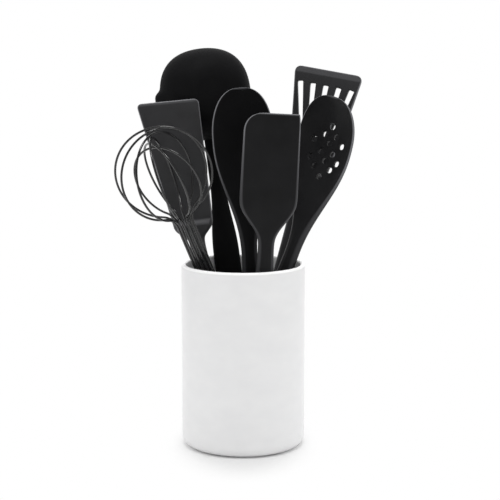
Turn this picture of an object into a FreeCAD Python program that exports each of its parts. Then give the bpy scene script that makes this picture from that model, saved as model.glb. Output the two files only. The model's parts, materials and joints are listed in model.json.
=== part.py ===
import FreeCAD, Part

import math
import os
from dataclasses import dataclass, replace

from FreeCAD import Vector

# A white ceramic crock with seven black kitchen tools standing in it.
# All lengths are millimetres. The origin is the middle of the crock's base and +Z is up.

# Crock
crock_diameter = 114.3
crock_height = 170.0
crock_wall = 4.5
crock_floor = 7.0
crock_foot_round = 8.0
crock_well_round = 6.0

# Fits shared by the tools
floor_clearance = 0.4
core_thickness = 3.2
core_margin = 4.0
core_setback = 16.0
cut_overrun = 4.0

# Handles of the six moulded tools
grip_width = 21.6
grip_thickness = 9.2
grip_crown = 0.9
butt_round = 10.0
grip_length = 112.0
handle_row_pitch = 12.0
neck_width = 14.6

# Ladle
ladle_length = 361.0
ladle_grip_width = 25.6
ladle_neck_length = 62.0
ladle_stem_length = 45.0
ladle_bowl_width = 86.0
ladle_bowl_depth = 38.0
ladle_bowl_wall = 3.0
ladle_bowl_floor_width = 30.0
ladle_spout_reach = 5.0
ladle_spout_radius = 9.0
ladle_spout_depth = 20.0
ladle_neck_thickness = 7.0

# Turner with a plain blade
turner_length = 318.5
turner_blade_length = 118.0
turner_tip_width = 56.5
turner_root_width = 37.0
turner_shoulder_length = 15.0
turner_corner_round = 5.5
turner_heel_thickness = 7.6
turner_heel_length = 6.0
turner_root_thickness = 3.8
turner_edge_thickness = 2.4
turner_lip_thickness = 1.6
turner_bevel_length = 3.0
turner_bend = 4.0
turner_slant_angle = -6.0

# Slotted turner
slotted_turner_length = 353.2
slotted_turner_blade_length = 100.0
slotted_turner_grip_width = 16.0
slotted_turner_tip_width = 67.0
slotted_turner_root_width = 38.0
slotted_turner_shoulder_length = 24.0
slotted_turner_corner_round = 8.0
slotted_turner_heel_thickness = 7.6
slotted_turner_heel_length = 6.0
slotted_turner_root_thickness = 4.4
slotted_turner_edge_thickness = 2.8
slotted_turner_lip_thickness = 1.0
slotted_turner_bevel_length = 6.5
slotted_turner_bend = 16.0
slotted_turner_slant_angle = 1.0
slot_margin = 14.2
slot_length = 48.0
slot_tip_width = 5.2
slot_root_width = 3.0
slot_tip_pitch = 12.6
slot_root_pitch = 7.2
slot_count = 5

# Solid spoon
solid_spoon_length = 325.0
solid_spoon_width = 56.0
solid_spoon_tip_length = 48.0
solid_spoon_fade_length = 99.0
solid_spoon_depth = 10.0
solid_spoon_bend = 12.0
solid_spoon_wall = 3.2

# Slotted spoon
slotted_spoon_length = 331.0
slotted_spoon_width = 61.0
slotted_spoon_tip_length = 43.0
slotted_spoon_fade_length = 99.0
slotted_spoon_depth = 10.0
slotted_spoon_bend = 27.0
slotted_spoon_wall = 3.2
drain_hole_diameter = 5.6
drain_first_row = 25.0
drain_row_pitch = 7.7
drain_half_pitch = 7.2
drain_row_counts = (1, 2, 3, 2, 3, 2, 1)

# Spatula
spatula_length = 303.0
spatula_tip_width = 50.5
spatula_root_width = 53.0
spatula_head_length = 78.0
spatula_shoulder_length = 38.0
spatula_round_corner = 19.0
spatula_square_corner = 1.5
spatula_root_thickness = 7.0
spatula_edge_thickness = 2.6

# Whisk
whisk_grip_diameter = 21.6
whisk_grip_length = 138.0
whisk_grip_wall = 1.4
whisk_collar_height = 3.0
whisk_core_length = 42.0
whisk_seat_depth = 26.0
whisk_wire_diameter = 2.0
whisk_wire_clearance = 0.06
whisk_leg_ring_radius = 7.6
whisk_leg_length = 106.0
whisk_bend_radius = 14.0
whisk_loop_radius = 43.0
whisk_loop_step = 1.7
whisk_loop_count = 6

# Where each tool stands, as shares of the crock's inner radius: its handle line at the floor and
# at the rim, and the turn of its face about that line in degrees.
ladle_stand_shares = ((0.07, 0.87), (-0.32, 0.88))
ladle_turn = 14.0
turner_stand_shares = ((-0.138, 0.555), (-0.748, 0.257))
turner_turn = 3.4
solid_spoon_stand_shares = ((0.315, -0.63), (0.125, -0.38))
solid_spoon_turn = 5.2
spatula_stand_shares = ((0.21, -0.85), (0.37, -0.76))
spatula_turn = 6.8
slotted_spoon_stand_shares = ((-0.39, -0.46), (0.79, 0.03))
slotted_spoon_turn = -34.0
slotted_turner_stand_shares = ((-0.08, -0.347), (0.734, 0.346))
slotted_turner_turn = -14.2
whisk_stand_shares = ((0.479, 0.588), (-0.698, -0.297))
whisk_turn = 0.0

# Shape constants without a length
edge_bulge_share = 2.0 / 3.0
lip_round_share = 0.45
squareness_share = 0.66
spout_foot_share = 0.3
round_pull_share = 0.45
end_share = 0.06
side_degree = 3

crock_inner_radius = crock_diameter / 2 - crock_wall
ladle_bowl_start = ladle_length - ladle_bowl_width
ladle_neck_end = ladle_bowl_start - ladle_stem_length
ladle_grip_length = ladle_neck_end - ladle_neck_length


@dataclass
class Section:
    """Rounded section across a tool: half widths to both sides, thickness, crowns and offset."""

    along: float
    left: float
    right: float
    thickness: float
    front_crown: float
    back_crown: float
    lift: float = 0.0
    slope: float = 0.0


@dataclass
class SpoonSizes:
    """Sizes of a spoon, in the order of the values above."""

    length: float
    width: float
    tip_length: float
    fade_length: float
    depth: float
    bend: float
    wall: float

    @property
    def fade_end(self):
        """Where the bowl is widest."""
        return self.length - self.tip_length

    @property
    def fade_start(self):
        """Where the neck starts to flare."""
        return self.fade_end - self.fade_length


@dataclass
class BladeSizes:
    """Sizes of a turner, in the order of the values above."""

    length: float
    blade_length: float
    grip_width: float
    tip_width: float
    root_width: float
    shoulder_length: float
    corner_round: float
    heel_thickness: float
    heel_length: float
    root_thickness: float
    edge_thickness: float
    lip_thickness: float
    bevel_length: float
    bend: float
    slant_angle: float

    @property
    def root(self):
        """Where the blade starts."""
        return self.length - self.blade_length

    @property
    def neck(self):
        """Where the shoulder starts."""
        return self.root - self.shoulder_length


def blend(start, end, share):
    """Cosine step from start to end while share runs from 0 to 1."""
    share = min(max(share, 0.0), 1.0)
    return start + (end - start) * (1 - math.cos(math.pi * share)) / 2


def spaced(start, end, count):
    """Evenly spaced values from start to end, both included."""
    return [start + (end - start) * index / (count - 1) for index in range(count)]


def handle_path(start, end):
    """Places of the control rows along a handle, about one row pitch apart, both ends included."""
    steps = max(round((end - start) / handle_row_pitch), 1)
    return spaced(start, end, steps + 1)


def bezier(*poles):
    """Bezier edge through its end poles."""
    curve = Part.BezierCurve()
    curve.setPoles(list(poles))
    return curve.toShape()


def section_loop(section):
    """Pole rows of a section's four sides."""
    half = section.thickness / 2
    bulge = section.thickness * edge_bulge_share
    left = half - section.left
    right = section.right - half
    middle = (left + right) / 2

    def point(across, face):
        return Vector(across, section.lift + face, section.along + across * section.slope)

    front_middle = point(middle, -half - 2 * section.front_crown)
    back_middle = point(middle, half + 2 * section.back_crown)
    return [
        [point(left, -half), front_middle, point(right, -half)],
        [point(right, -half), point(right + bulge, -half), point(right + bulge, half), point(right, half)],
        [point(right, half), back_middle, point(left, half)],
        [point(left, half), point(left - bulge, half), point(left - bulge, -half), point(left, -half)],
    ]


def lofted_solid(loops):
    """Solid with smooth sides that take the loops as control rows, closed by two flat ends.

    Each side is cut at its knots, so that a straight stretch stays a plain face of its own.
    """
    spans = len(loops) - side_degree
    faces = []
    for side in range(len(loops[0])):
        rows = [loop[side] for loop in loops]
        across_degree = len(rows[0]) - 1
        surface = Part.BSplineSurface()
        surface.buildFromPolesMultsKnots(
            rows,
            [side_degree + 1] + [1] * (spans - 1) + [side_degree + 1],
            [across_degree + 1, across_degree + 1],
            list(range(spans + 1)),
            [0, 1],
            False,
            False,
            side_degree,
            across_degree,
        )
        for span in range(spans):
            patch = surface.copy()
            patch.segment(span, span + 1, 0, 1)
            faces.append(patch.toShape())
    for loop in (loops[0], loops[-1]):
        faces.append(Part.Face(Part.Wire([bezier(*poles) for poles in loop])))
    shell = Part.Shell(faces)
    shell.sewShape()
    solid = Part.Solid(shell)
    if solid.Volume < 0:
        solid.reverse()
    return solid


def tool_solid(sections):
    """Solid of a tool from its sections."""
    return lofted_solid([section_loop(section) for section in sections])


def core_plate(sections):
    """Flat stiffener inside a handle, with straight sides from section to section."""
    lift = sections[0].lift
    right_side = [Vector(section.right - core_margin, lift, section.along) for section in sections]
    left_side = [Vector(core_margin - section.left, lift, section.along) for section in sections]
    outline = Part.Face(Part.makePolygon(right_side + left_side[::-1] + right_side[:1]))
    outline.translate(Vector(0, -core_thickness / 2, 0))
    return outline.extrude(Vector(0, core_thickness, 0))


def scaled(section, along, share):
    """The same section elsewhere along the tool, with a share of its width."""
    half_width = min(section.left, section.right) * share
    return replace(
        section,
        along=along,
        left=section.left * share,
        right=section.right * share,
        thickness=min(section.thickness, half_width),
        front_crown=section.front_crown * share**2,
        back_crown=section.back_crown * share**2,
    )


def butt_sections(full):
    """Rounded handle end, from its tip to the full grip section."""
    rises = (0.0, 0.0, round_pull_share * butt_round, butt_round)
    widths = (end_share, 1 - round_pull_share, 1.0, 1.0)
    return [scaled(full, rise, width) for rise, width in zip(rises, widths)]


def tip_sections(section_at, length, tip_length):
    """Rounded spoon tip, from the widest section to the end."""
    drops = (round_pull_share * tip_length, 0.0, 0.0)
    widths = (1.0, 1 - round_pull_share, end_share)
    return [scaled(section_at(length - drop), length - drop, width) for drop, width in zip(drops, widths)]


def corner_sections(section_at, length, left_radius, right_radius):
    """Rounded corners of a head, up to its leading edge."""
    drops = (1.0, round_pull_share, 0.0, 0.0)
    cuts = (0.0, 0.0, round_pull_share, 1.0)
    sections = []
    for drop, cut in zip(drops, cuts):
        full = section_at(length - max(left_radius, right_radius) * drop)
        left = full.left - left_radius * cut
        right = full.right - right_radius * cut
        sections.append(replace(full, left=left, right=right))
    return sections


def handle_half_width(along, width, taper_start, taper_end):
    """Half width of a handle: full grip, then a taper to the neck."""
    share = (along - taper_start) / (taper_end - taper_start)
    return blend(width, neck_width, share) / 2


def with_core(outer, core):
    """A moulded skin over its stiff core: both pieces of one tool."""
    return outer.cut(core), core


def spoon_section(along, sizes):
    """Section of a spoon: handle, cosine flare, then a bowl that is dished and bent forward."""
    head_share = (along - sizes.fade_start) / sizes.fade_length
    handle = handle_half_width(along, grip_width, grip_length, sizes.fade_start)
    half_width = blend(handle, sizes.width / 2, head_share)
    dish = sizes.depth * (2 * half_width / sizes.width) ** 2
    reach = max(along - sizes.fade_start, 0.0) / (sizes.length - sizes.fade_start)
    return Section(
        along=along,
        left=half_width,
        right=half_width,
        thickness=blend(grip_thickness, sizes.wall, head_share),
        front_crown=blend(grip_crown, -dish, head_share),
        back_crown=blend(grip_crown, dish, head_share),
        lift=-sizes.bend * reach**2,
    )


def make_spoon(sizes):
    """Skin and core of a spoon."""

    def section_at(along):
        return spoon_section(along, sizes)

    grip_path = handle_path(butt_round, grip_length)[1:]
    neck_path = handle_path(grip_length, sizes.fade_start)[1:]
    bowl_path = spaced(sizes.fade_start, sizes.fade_end, 8)[1:]
    sections = butt_sections(section_at(butt_round))
    sections += [section_at(along) for along in grip_path + neck_path + bowl_path]
    outer = tool_solid(sections + tip_sections(section_at, sizes.length, sizes.tip_length))
    core = core_plate([section_at(along) for along in (core_setback, grip_length, sizes.fade_start)])
    return with_core(outer, core)


def make_solid_spoon():
    """Solid spoon."""
    return make_spoon(SpoonSizes(
        solid_spoon_length,
        solid_spoon_width,
        solid_spoon_tip_length,
        solid_spoon_fade_length,
        solid_spoon_depth,
        solid_spoon_bend,
        solid_spoon_wall,
    ))


def make_slotted_spoon():
    """Slotted spoon: a spoon with staggered rows of drain holes through its bowl."""
    skin, core = make_spoon(SpoonSizes(
        slotted_spoon_length,
        slotted_spoon_width,
        slotted_spoon_tip_length,
        slotted_spoon_fade_length,
        slotted_spoon_depth,
        slotted_spoon_bend,
        slotted_spoon_wall,
    ))
    reach = slotted_spoon_bend + slotted_spoon_depth + cut_overrun
    holes = []
    for row, count in enumerate(drain_row_counts):
        along = slotted_spoon_length - drain_first_row - row * drain_row_pitch
        for place in range(count):
            across = (2 * place - (count - 1)) * drain_half_pitch
            start = Vector(across, -reach, along)
            holes.append(Part.makeCylinder(drain_hole_diameter / 2, 2 * reach, start, Vector(0, 1, 0)))
    return skin.cut(holes), core


def blade_section(along, sizes):
    """Section of a turner: thick shoulder, step down at the heel, blade that widens, bevelled edge.

    The back stays flush over the heel and the bevel, so both show as slopes on the front.
    """
    blade_share = max((along - sizes.root) / sizes.blade_length, 0.0)
    shoulder_share = min(max((along - sizes.neck) / sizes.shoulder_length, 0.0), 1.0)
    handle = handle_half_width(along, sizes.grip_width, grip_length, sizes.neck)
    blade = (sizes.root_width + (sizes.tip_width - sizes.root_width) * blade_share) / 2
    handle_share = (along - grip_length) / (sizes.root - grip_length)
    shoulder_thickness = blend(grip_thickness, sizes.heel_thickness, handle_share)
    heel_share = (along - sizes.root) / sizes.heel_length
    heel_step = blend(0.0, sizes.heel_thickness - sizes.root_thickness, heel_share)
    taper = (sizes.root_thickness - sizes.edge_thickness) * blade_share
    bevel_share = max(1 - (sizes.length - along) / sizes.bevel_length, 0.0)
    bevel_step = (sizes.edge_thickness - sizes.lip_thickness) * bevel_share
    reach = max(along - sizes.neck, 0.0) / (sizes.length - sizes.neck)
    half_width = blend(handle, blade, shoulder_share)
    return Section(
        along=along,
        left=half_width,
        right=half_width,
        thickness=shoulder_thickness - heel_step - taper - bevel_step,
        front_crown=grip_crown * (1 - shoulder_share),
        back_crown=grip_crown * (1 - shoulder_share),
        lift=(heel_step + bevel_step) / 2 - sizes.bend * reach**2,
        slope=math.tan(math.radians(sizes.slant_angle)) * blade_share,
    )


def make_blade(sizes):
    """Skin and core of a turner without slots."""

    def section_at(along):
        return blade_section(along, sizes)

    heel_end = sizes.root + sizes.heel_length
    corner = sizes.corner_round
    grip_path = handle_path(butt_round, grip_length)[1:]
    neck_path = handle_path(grip_length, sizes.neck)[1:]
    shoulder_path = spaced(sizes.neck, sizes.root, 5)[1:]
    heel_path = spaced(sizes.root, heel_end, 4)[1:]
    blade_path = spaced(heel_end, sizes.length - corner, 9)[1:-1]
    stations = grip_path + neck_path + shoulder_path + heel_path + blade_path
    sections = butt_sections(section_at(butt_round)) + [section_at(along) for along in stations]
    outer = tool_solid(sections + corner_sections(section_at, sizes.length, corner, corner))
    core = core_plate([section_at(along) for along in (core_setback, grip_length, sizes.neck)])
    return with_core(outer, core)


def make_turner():
    """Turner with a plain blade and a slanted leading edge."""
    return make_blade(BladeSizes(
        turner_length,
        turner_blade_length,
        grip_width,
        turner_tip_width,
        turner_root_width,
        turner_shoulder_length,
        turner_corner_round,
        turner_heel_thickness,
        turner_heel_length,
        turner_root_thickness,
        turner_edge_thickness,
        turner_lip_thickness,
        turner_bevel_length,
        turner_bend,
        turner_slant_angle,
    ))


def slot_prism(tip_across, root_across, tip_along, root_along, reach):
    """Tapered slot with round ends, cut through the blade."""
    run = Vector(tip_across - root_across, 0, tip_along - root_along).normalize()
    side = Vector(run.z, 0, -run.x)
    tip_radius = slot_tip_width / 2
    root_radius = slot_root_width / 2
    tip = Vector(tip_across, -reach, tip_along) - run * tip_radius
    root = Vector(root_across, -reach, root_along) + run * root_radius
    corners = [root - side * root_radius, tip - side * tip_radius]
    corners += [tip + side * tip_radius, root + side * root_radius]
    outline = Part.Wire([
        Part.LineSegment(corners[0], corners[1]).toShape(),
        Part.Arc(corners[1], tip + run * tip_radius, corners[2]).toShape(),
        Part.LineSegment(corners[2], corners[3]).toShape(),
        Part.Arc(corners[3], root - run * root_radius, corners[0]).toShape(),
    ])
    return Part.Face(outline).extrude(Vector(0, 2 * reach, 0))


def make_slotted_turner():
    """Slotted turner: a fan of tapered slots through a bent blade."""
    skin, core = make_blade(BladeSizes(
        slotted_turner_length,
        slotted_turner_blade_length,
        slotted_turner_grip_width,
        slotted_turner_tip_width,
        slotted_turner_root_width,
        slotted_turner_shoulder_length,
        slotted_turner_corner_round,
        slotted_turner_heel_thickness,
        slotted_turner_heel_length,
        slotted_turner_root_thickness,
        slotted_turner_edge_thickness,
        slotted_turner_lip_thickness,
        slotted_turner_bevel_length,
        slotted_turner_bend,
        slotted_turner_slant_angle,
    ))
    reach = slotted_turner_bend + slotted_turner_heel_thickness + cut_overrun
    tip_along = slotted_turner_length - slot_margin
    root_along = tip_along - slot_length
    slots = []
    for index in range(slot_count):
        place = index - (slot_count - 1) / 2
        tip_across = place * slot_tip_pitch
        root_across = place * slot_root_pitch
        slots.append(slot_prism(tip_across, root_across, tip_along, root_along, reach))
    return skin.cut(slots), core


def spatula_section(along):
    """Section of the spatula: handle, round shoulder, then a flat scraper head."""
    root = spatula_length - spatula_head_length
    neck = root - spatula_shoulder_length
    head_share = max((along - root) / spatula_head_length, 0.0)
    handle = handle_half_width(along, grip_width, grip_length, neck)
    head = (spatula_root_width + (spatula_tip_width - spatula_root_width) * head_share) / 2
    half_width = blend(handle, head, (along - neck) / spatula_shoulder_length)
    taper_share = (along - grip_length) / (root - grip_length)
    thickness = blend(grip_thickness, spatula_root_thickness, taper_share)
    return Section(
        along=along,
        left=half_width,
        right=half_width,
        thickness=thickness + (spatula_edge_thickness - spatula_root_thickness) * head_share,
        front_crown=grip_crown * (1 - head_share),
        back_crown=grip_crown * (1 - head_share),
    )


def make_spatula():
    """Spatula: scraper head with one large round corner and one square corner."""
    root = spatula_length - spatula_head_length
    neck = root - spatula_shoulder_length
    stations = handle_path(butt_round, grip_length)[1:] + handle_path(grip_length, neck)[1:]
    stations += spaced(neck, root, 7)[1:] + spaced(root, spatula_length - spatula_round_corner, 5)[1:-1]
    sections = butt_sections(spatula_section(butt_round)) + [spatula_section(along) for along in stations]
    sections += corner_sections(spatula_section, spatula_length, spatula_round_corner, spatula_square_corner)
    outer = tool_solid(sections)
    core = core_plate([spatula_section(along) for along in (core_setback, grip_length, neck)])
    return with_core(outer, core)


def squircle_loop(radius, face, along):
    """Pole rows of a rounded square outline in a plane that faces the viewer."""
    pull = radius * squareness_share
    corners = [(1, 0), (0, 1), (-1, 0), (0, -1)]
    loop = []
    for (start_x, start_z), (end_x, end_z) in zip(corners, corners[1:] + corners[:1]):
        loop.append([
            Vector(start_x * radius, face, along + start_z * radius),
            Vector(start_x * radius + end_x * pull, face, along + start_z * radius + end_z * pull),
            Vector(end_x * radius + start_x * pull, face, along + end_z * radius + start_z * pull),
            Vector(end_x * radius, face, along + end_z * radius),
        ])
    return loop


def bowl_solid(radius, depth, floor_radius, along):
    """Filled bowl: squircle outlines that shrink from the rim to a flat floor."""
    drops = (0.0, 1 - round_pull_share, 1.0, 1.0)
    widths = (1.0, 1.0, 1 - round_pull_share, 0.0)
    loops = []
    for drop, width in zip(drops, widths):
        outline = floor_radius + (radius - floor_radius) * width
        loops.append(squircle_loop(outline, -depth * drop, along))
    return lofted_solid(loops)


def spout_solid(inset, bowl_along):
    """Filled pouring lip: a cone at the left of the bowl's rim, narrow below and wide at the rim."""
    centre = ladle_bowl_width / 2 + ladle_spout_reach - ladle_spout_radius
    foot = Vector(-centre, -ladle_spout_depth, bowl_along)
    narrow = (ladle_spout_radius - inset) * spout_foot_share
    return Part.makeCone(narrow, ladle_spout_radius - inset, ladle_spout_depth, foot, Vector(0, 1, 0))


def ladle_section(along):
    """Section of the ladle's handle, which runs into the underside of the bowl."""
    half_width = handle_half_width(along, ladle_grip_width, ladle_grip_length, ladle_neck_end)
    taper_share = (along - ladle_grip_length) / ladle_neck_length
    return Section(
        along=along,
        left=half_width,
        right=half_width,
        thickness=blend(grip_thickness, ladle_neck_thickness, taper_share),
        front_crown=grip_crown,
        back_crown=grip_crown,
        lift=-ladle_neck_thickness / 2 - grip_crown,
    )


def make_ladle():
    """Ladle: deep squarish bowl with a pouring lip, its back towards the viewer."""
    bowl_radius = ladle_bowl_width / 2
    bowl_along = ladle_length - bowl_radius
    grip_path = handle_path(butt_round, ladle_grip_length)[1:]
    neck_path = handle_path(ladle_grip_length, ladle_neck_end)[1:]
    stem_end = ladle_bowl_start + ladle_bowl_wall
    stem_path = handle_path(ladle_neck_end, stem_end)[1:-1] + [stem_end - handle_row_pitch / 3, stem_end]
    stations = grip_path + neck_path + stem_path
    sections = butt_sections(ladle_section(butt_round)) + [ladle_section(along) for along in stations]
    handle = tool_solid(sections)
    floor_radius = ladle_bowl_floor_width / 2
    bowl = bowl_solid(bowl_radius, ladle_bowl_depth, floor_radius, bowl_along)
    hollow = bowl_solid(
        bowl_radius - ladle_bowl_wall,
        ladle_bowl_depth - ladle_bowl_wall,
        floor_radius - ladle_bowl_wall,
        bowl_along,
    )
    bowl = bowl.fuse(spout_solid(0.0, bowl_along))
    hollow = hollow.fuse(spout_solid(ladle_bowl_wall, bowl_along))
    outer = bowl.fuse(handle).cut(hollow)
    core_path = (core_setback, ladle_grip_length, ladle_neck_end)
    core = core_plate([ladle_section(along) for along in core_path])
    return with_core(outer, core)


def whisk_loop(index):
    """One wire of the whisk: two straight legs, two outward bends and a round balloon."""
    turn = math.pi * index / whisk_loop_count
    radius = whisk_loop_radius - index * whisk_loop_step
    seat = whisk_grip_length + whisk_collar_height - whisk_seat_depth
    bend_height = seat + whisk_leg_length
    bend_across = whisk_leg_ring_radius + whisk_bend_radius
    rise = math.sqrt((whisk_bend_radius + radius) ** 2 - bend_across**2)
    centre_height = bend_height + rise
    bend_angle = math.atan2(rise, bend_across)
    bend_middle = bend_angle / 2
    side_angle = (math.pi / 2 - bend_angle) / 2

    def point(across, height):
        return Vector(across * math.cos(turn), across * math.sin(turn), height)

    def on_bend(angle):
        across = bend_across - whisk_bend_radius * math.cos(angle)
        return across, bend_height + whisk_bend_radius * math.sin(angle)

    def on_balloon(angle):
        return radius * math.cos(angle), centre_height + radius * math.sin(angle)

    half = [
        (whisk_leg_ring_radius, seat),
        (whisk_leg_ring_radius, bend_height),
        on_bend(bend_middle),
        on_bend(bend_angle),
        on_balloon(side_angle),
    ]
    right = [point(across, height) for across, height in half]
    left = [point(-across, height) for across, height in half]
    top = point(0, centre_height + radius)
    path = Part.Wire([
        Part.LineSegment(right[0], right[1]).toShape(),
        Part.Arc(right[1], right[2], right[3]).toShape(),
        Part.Arc(right[3], right[4], top).toShape(),
        Part.Arc(top, left[4], left[3]).toShape(),
        Part.Arc(left[3], left[2], left[1]).toShape(),
        Part.LineSegment(left[1], left[0]).toShape(),
    ])
    ring = Part.Wire(Part.Circle(right[0], Vector(0, 0, 1), whisk_wire_diameter / 2).toShape())
    return path.makePipeShell([ring], True, False)


def make_whisk():
    """Whisk: moulded grip, plug that holds the wires, and nested wire loops."""
    grip_radius = whisk_grip_diameter / 2
    core_radius = grip_radius - whisk_grip_wall
    top = whisk_grip_length + whisk_collar_height
    grip = Part.makeCylinder(grip_radius, whisk_grip_length)
    lower_edges = [edge for edge in grip.Edges if edge.BoundBox.ZMax < whisk_grip_length / 2]
    lower_edges = [edge for edge in lower_edges if edge.Closed and len(edge.Vertexes) == 1]
    grip = grip.makeFillet(grip_radius * lip_round_share, lower_edges)
    core_start = whisk_grip_length - whisk_core_length
    core = Part.makeCylinder(core_radius, top - core_start, Vector(0, 0, core_start))
    grip = grip.cut(core)
    bore_radius = whisk_wire_diameter / 2 + whisk_wire_clearance
    bores = []
    for index in range(2 * whisk_loop_count):
        angle = math.pi * index / whisk_loop_count
        foot = Vector(
            whisk_leg_ring_radius * math.cos(angle),
            whisk_leg_ring_radius * math.sin(angle),
            top - whisk_seat_depth,
        )
        bores.append(Part.makeCylinder(bore_radius, whisk_seat_depth + cut_overrun, foot))
    core = core.cut(bores)
    return grip, core, [whisk_loop(index) for index in range(whisk_loop_count)]


def make_crock():
    """Crock: straight wall, rounded lip, rounded foot and a flat base."""
    radius = crock_diameter / 2
    outside = Part.makeCylinder(radius, crock_height)
    well = Part.makeCylinder(
        crock_inner_radius,
        crock_height,
        Vector(0, 0, crock_floor),
    )
    foot = [edge for edge in outside.Edges if edge.BoundBox.ZMax < crock_floor and edge.Closed]
    outside = outside.makeFillet(crock_foot_round, foot)
    well_edge = [edge for edge in well.Edges if edge.BoundBox.ZMax < crock_height / 2 and edge.Closed]
    well = well.makeFillet(crock_well_round, well_edge)
    pot = outside.cut(well)
    lip = [edge for edge in pot.Edges if edge.BoundBox.ZMin > crock_height - crock_wall and edge.Closed]
    return pot.makeFillet(crock_wall * lip_round_share, lip)


def stand(name, shapes, stand_shares, turn):
    """Stand a tool in the crock along its handle line, just clear of the floor."""
    (floor_x, floor_y), (rim_x, rim_y) = stand_shares
    foot = Vector(floor_x * crock_inner_radius, floor_y * crock_inner_radius, crock_floor)
    rim = Vector(rim_x * crock_inner_radius, rim_y * crock_inner_radius, crock_height)
    axis = (rim - foot).normalize()
    level = (Vector(1, 0, 0) - axis * axis.x).normalize()
    across = FreeCAD.Rotation(axis, turn).multVec(level)
    rotation = FreeCAD.Rotation(across, axis.cross(across), axis, "ZXY")
    for shape in shapes.values():
        shape.Placement = FreeCAD.Placement(foot, rotation)
    lowest = min(shape.optimalBoundingBox(False, False).ZMin for shape in shapes.values())
    shift = axis * ((crock_floor + floor_clearance - lowest) / axis.z)
    for shape in shapes.values():
        shape.translate(shift)
    start = foot + shift
    print(name, "foot", [round(value, 3) for value in start], "axis", [round(value, 6) for value in axis])
    return shapes


def make_nodes():
    """Every piece of the object under its own name."""
    nodes = {"crock": make_crock()}
    moulded = (
        ("ladle", make_ladle, ladle_stand_shares, ladle_turn),
        ("turner", make_turner, turner_stand_shares, turner_turn),
        ("solid_spoon", make_solid_spoon, solid_spoon_stand_shares, solid_spoon_turn),
        ("spatula", make_spatula, spatula_stand_shares, spatula_turn),
        ("slotted_spoon", make_slotted_spoon, slotted_spoon_stand_shares, slotted_spoon_turn),
        ("slotted_turner", make_slotted_turner, slotted_turner_stand_shares, slotted_turner_turn),
    )
    for name, make, shares, turn in moulded:
        skin, core = make()
        nodes.update(stand(name, {name + "_skin": skin, name + "_core": core}, shares, turn))
    grip, core, loops = make_whisk()
    whisk = {"whisk_grip": grip, "whisk_core": core}
    for index, loop in enumerate(loops):
        whisk["whisk_wire_" + str(index + 1)] = loop
    nodes.update(stand("whisk", whisk, whisk_stand_shares, whisk_turn))
    return nodes


os.makedirs("parts", exist_ok=True)
for node_name, node_shape in make_nodes().items():
    node_shape.exportStep(os.path.join("parts", node_name + ".step"))
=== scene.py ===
"""Looks of a white ceramic crock with seven black kitchen tools standing in it.

Every length is in metres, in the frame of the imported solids: the origin is the middle of the
crock's base, +Z is up and -Y faces the viewer. A tool's own frame has X across its face, Y through
it from front to back, and Z along it from the end of its handle.
"""

import json
import logging
import math
from dataclasses import dataclass, fields
from enum import Enum

import bpy
import numpy as np
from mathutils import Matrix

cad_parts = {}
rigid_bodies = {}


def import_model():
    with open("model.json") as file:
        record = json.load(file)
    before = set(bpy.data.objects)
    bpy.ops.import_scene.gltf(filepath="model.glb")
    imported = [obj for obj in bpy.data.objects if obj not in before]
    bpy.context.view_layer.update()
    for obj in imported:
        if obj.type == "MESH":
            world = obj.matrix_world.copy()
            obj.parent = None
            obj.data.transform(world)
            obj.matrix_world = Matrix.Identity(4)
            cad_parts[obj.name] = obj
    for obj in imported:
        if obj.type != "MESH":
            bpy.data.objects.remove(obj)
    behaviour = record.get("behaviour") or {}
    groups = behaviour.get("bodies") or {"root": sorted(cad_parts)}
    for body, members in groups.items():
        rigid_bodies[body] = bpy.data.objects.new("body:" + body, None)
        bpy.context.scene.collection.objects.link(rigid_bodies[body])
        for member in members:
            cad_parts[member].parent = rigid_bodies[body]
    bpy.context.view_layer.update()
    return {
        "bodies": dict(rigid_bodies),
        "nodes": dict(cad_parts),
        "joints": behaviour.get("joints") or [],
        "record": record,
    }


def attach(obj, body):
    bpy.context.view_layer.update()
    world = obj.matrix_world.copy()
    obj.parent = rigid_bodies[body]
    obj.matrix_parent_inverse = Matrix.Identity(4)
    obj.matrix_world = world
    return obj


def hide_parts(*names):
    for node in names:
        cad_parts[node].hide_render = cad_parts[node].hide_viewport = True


Array = np.ndarray
Triple = tuple[float, float, float]
Socket = bpy.types.NodeSocket
LOG = logging.getLogger("utensil_crock")

# Point attribute that holds the share of painted highlight: a paler colour standing in for light caught on
# edges and lips.
PAINTED_HIGHLIGHT = "rim"
CUBIC = 3
PARABOLA_POLES = 3
CREASE_ANGLE = math.radians(42)

# How finely the grids are drawn.
ROWS_PER_SPAN = 12
FACE_COLUMNS = 28
EDGE_COLUMNS = 10
REVOLVE_COLUMNS = 128
FILLET_POINTS = 12
PIN_SIDES = 40
PIN_ROUND_ROWS = 6
SLOT_SIDE_POINTS = 24

# How control rows, rounded ends and cutters are spaced and shaped.
HANDLE_ROW_PITCH = 0.012
EDGE_BULGE_SHARE = 2 / 3
ROUND_PULL_SHARE = 0.45
END_SHARE = 0.06
EDGE_FLAT_SHARE = 0.01
PIN_ROUND_STOP_SHARE = 0.94
CUTTER_REACH = 3.0

# Where the edges take a painted highlight, a paler colour standing in for the light they catch.
THIN_EDGE = 0.0034
TIP_HIGHLIGHT_WIDTH = 0.0014
HEEL_HIGHLIGHT_SHARE = 0.4
BEVEL_HIGHLIGHT_SHARE = 0.22

# The span that a noise factor usually takes, the blue of a cool grey, and an even stretch.
NOISE_LOW = 0.3
NOISE_HIGH = 0.7
COOL_SHARE = 1.06
EVEN = (1.0, 1.0, 1.0)


class Slot(Enum):
    """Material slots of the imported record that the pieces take."""

    GLAZE = "glaze"
    SILICONE = "silicone"
    WIRE = "wire"


class Joining(Enum):
    """Ways in which one closed shape works on another."""

    CUT = "DIFFERENCE"
    WELD = "UNION"


def blend(start: Array | float, end: Array | float, share: Array) -> Array:
    """Cosine step: start + (end - start) (1 - cos(pi share)) / 2, with share held to 0..1."""
    held = np.clip(share, 0.0, 1.0)
    return start + (end - start) * (1 - np.cos(np.pi * held)) / 2


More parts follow.
